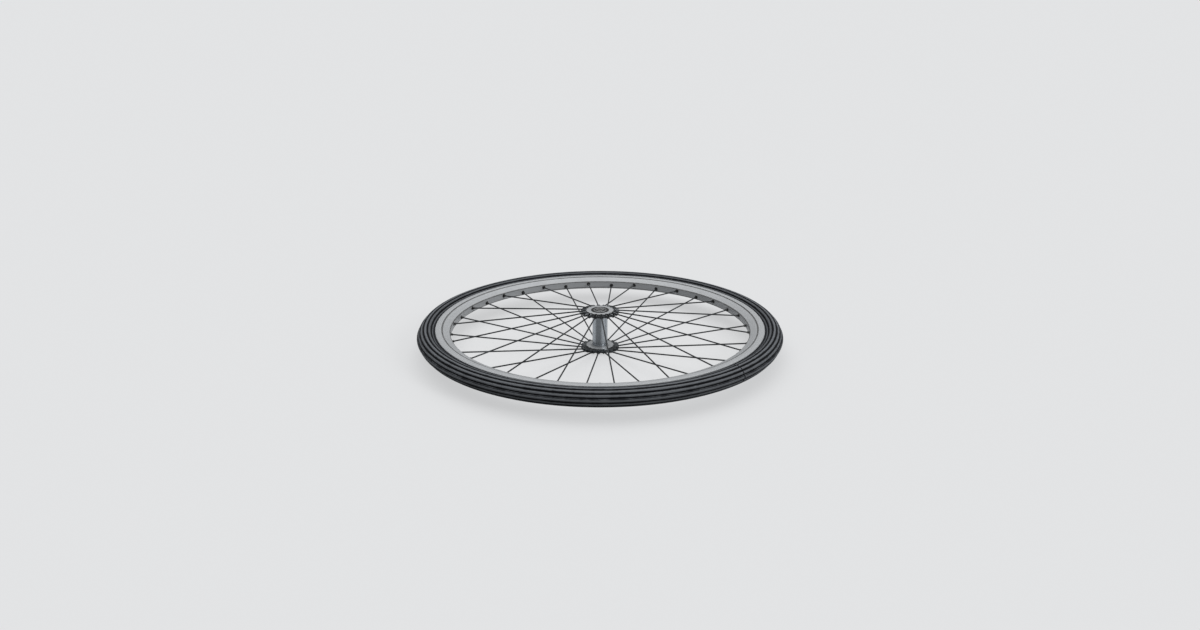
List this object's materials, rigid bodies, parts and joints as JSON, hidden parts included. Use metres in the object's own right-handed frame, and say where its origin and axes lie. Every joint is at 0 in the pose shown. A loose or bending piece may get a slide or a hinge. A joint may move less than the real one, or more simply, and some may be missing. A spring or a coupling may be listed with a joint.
{
  "type": "bicycle wheel",
  "caption": "Bicycle wheel with a ribbed tyre, a double-wall rim, straight radial spokes and a lugged hub that turns on sealed bearings about its axle.",
  "frame": {"origin": "the centre of the wheel, on the axle's line and midway between the two flanges", "axes": "+Z along the axle, so the wheel lies flat; +X and +Y in the wheel's plane; the valve points along -Y"},
  "size_m": [0.7, 0.7, 0.0808],
  "materials": {
    "tyre_rubber": "moulded dark grey rubber, matt, slightly worn on the ribs",
    "tube_rubber": "thin butyl rubber",
    "rim_tape": "woven cotton tape",
    "rim_alloy": "extruded aluminium, brushed round the braking faces",
    "dark_steel": "pressed steel with a dark finish",
    "nickel_plate": "nickel-plated brass",
    "valve_brass": "turned brass",
    "black_plastic": "black moulded plastic",
    "hub_alloy": "turned aluminium with dark lugs",
    "axle_steel": "turned steel",
    "seal_rubber": "black nitrile rubber",
    "bearing_steel": "ground bearing steel",
    "cage_brass": "machined brass",
    "spoke_steel": "drawn stainless steel wire"
  },
  "bodies": {
    "axle": {"axle": "axle_steel", "axle_ring_nut_upper": "axle_steel", "axle_ring_nut_lower": "axle_steel", "bearing_inner_race_upper": "bearing_steel", "bearing_inner_race_lower": "bearing_steel"},
    "wheel": {"tyre": "tyre_rubber", "inner_tube": "tube_rubber", "rim_tape": "rim_tape", "rim": "rim_alloy", "rim_eyelets": "dark_steel", "spoke_nipples": "nickel_plate", "valve_stem": "valve_brass", "valve_nut": "nickel_plate", "valve_cap": "black_plastic", "hub_shell": "hub_alloy", "dust_cap_upper": "dark_steel", "dust_cap_lower": "dark_steel", "bearing_seals": "seal_rubber", "bearing_outer_race_upper": "bearing_steel", "bearing_balls_upper": "bearing_steel", "bearing_cage_upper": "cage_brass", "bearing_outer_race_lower": "bearing_steel", "bearing_balls_lower": "bearing_steel", "bearing_cage_lower": "cage_brass", "spoke_upper_01": "spoke_steel", "spoke_upper_02": "spoke_steel", "spoke_upper_03": "spoke_steel", "spoke_upper_04": "spoke_steel", "spoke_upper_05": "spoke_steel", "spoke_upper_06": "spoke_steel", "spoke_upper_07": "spoke_steel", "spoke_upper_08": "spoke_steel", "spoke_upper_09": "spoke_steel", "spoke_upper_10": "spoke_steel", "spoke_upper_11": "spoke_steel", "spoke_upper_12": "spoke_steel", "spoke_upper_13": "spoke_steel", "spoke_upper_14": "spoke_steel", "spoke_upper_15": "spoke_steel", "spoke_upper_16": "spoke_steel", "spoke_upper_17": "spoke_steel", "spoke_upper_18": "spoke_steel", "spoke_lower_01": "spoke_steel", "spoke_lower_02": "spoke_steel", "spoke_lower_03": "spoke_steel", "spoke_lower_04": "spoke_steel", "spoke_lower_05": "spoke_steel", "spoke_lower_06": "spoke_steel", "spoke_lower_07": "spoke_steel", "spoke_lower_08": "spoke_steel", "spoke_lower_09": "spoke_steel", "spoke_lower_10": "spoke_steel", "spoke_lower_11": "spoke_steel", "spoke_lower_12": "spoke_steel", "spoke_lower_13": "spoke_steel", "spoke_lower_14": "spoke_steel", "spoke_lower_15": "spoke_steel", "spoke_lower_16": "spoke_steel", "spoke_lower_17": "spoke_steel", "spoke_lower_18": "spoke_steel"}
  },
  "joints": [
    {"name": "wheel_spin", "type": "hinge", "parent": "axle", "child": "wheel", "pos_m": [0, 0, 0], "axis": [0, 0, 1], "continuous": true}
  ]
}
